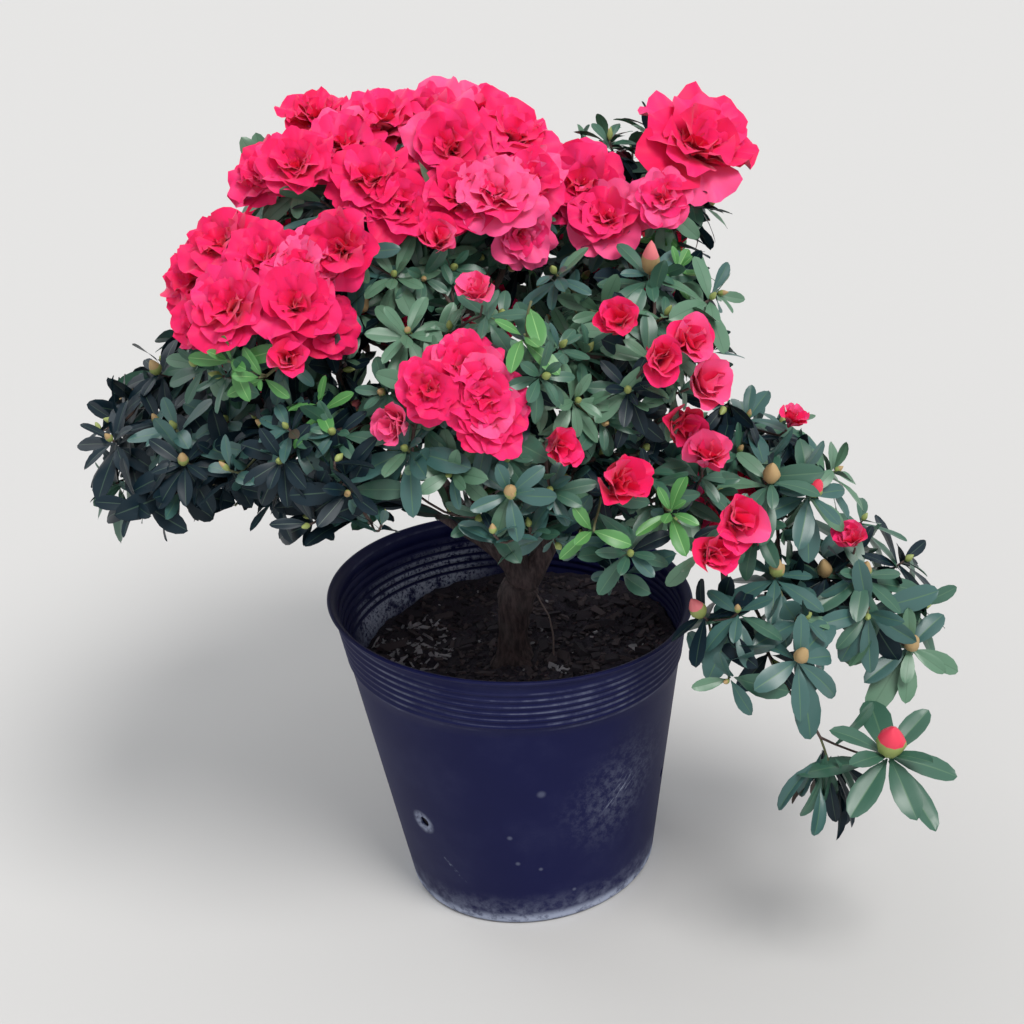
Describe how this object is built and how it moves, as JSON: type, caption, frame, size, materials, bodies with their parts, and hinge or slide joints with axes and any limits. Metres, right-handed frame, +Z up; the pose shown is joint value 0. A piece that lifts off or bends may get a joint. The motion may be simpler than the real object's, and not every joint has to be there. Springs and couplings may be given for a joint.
{
  "type": "potted azalea shrub",
  "caption": "Small double-flowered azalea shrub on a short bare stem, its uneven domed head drooping on one side, grown in a soft black nursery pot.",
  "frame": {"origin": "middle of the pot's flat underside", "axes": "+Z up; -Y is the side that the picture shows; +X is to the right in the picture, the side on which the head droops"},
  "size_m": [0.4189, 0.363, 0.4362],
  "materials": {
    "pot": "matte black soft plastic with pale dust",
    "soil": "dark moist peat and bark",
    "bark": "dull grey-brown bark",
    "leaf": "satin dark green leaves",
    "blossom": "soft rose-red petals"
  },
  "bodies": {
    "root": {"pot": "pot", "soil": "soil", "trunk": "bark", "bough_main": "bark", "bough_right": "bark", "bough_left_upright": "bark", "bough_left_low": "bark", "bough_front": "bark", "bough_right_front": "bark", "bough_right_low": "bark", "bough_back": "bark", "bough_back_left": "bark", "bough_back_right": "bark", "foliage_back": "leaf", "foliage_front": "leaf", "foliage_left": "leaf", "foliage_left_back": "leaf", "foliage_left_front": "leaf", "foliage_right": "leaf", "foliage_right_back": "leaf", "foliage_right_front": "leaf", "foliage_right_inner": "leaf", "foliage_right_outer": "leaf", "foliage_right_skirt": "leaf", "foliage_right_tip": "leaf", "foliage_top": "blossom", "foliage_upper_back": "leaf", "foliage_upper_back_left": "leaf", "foliage_upper_front": "leaf", "foliage_upper_left": "blossom", "foliage_upper_right": "blossom", "foliage_upper_right_front": "leaf"}
  },
  "joints": []
}
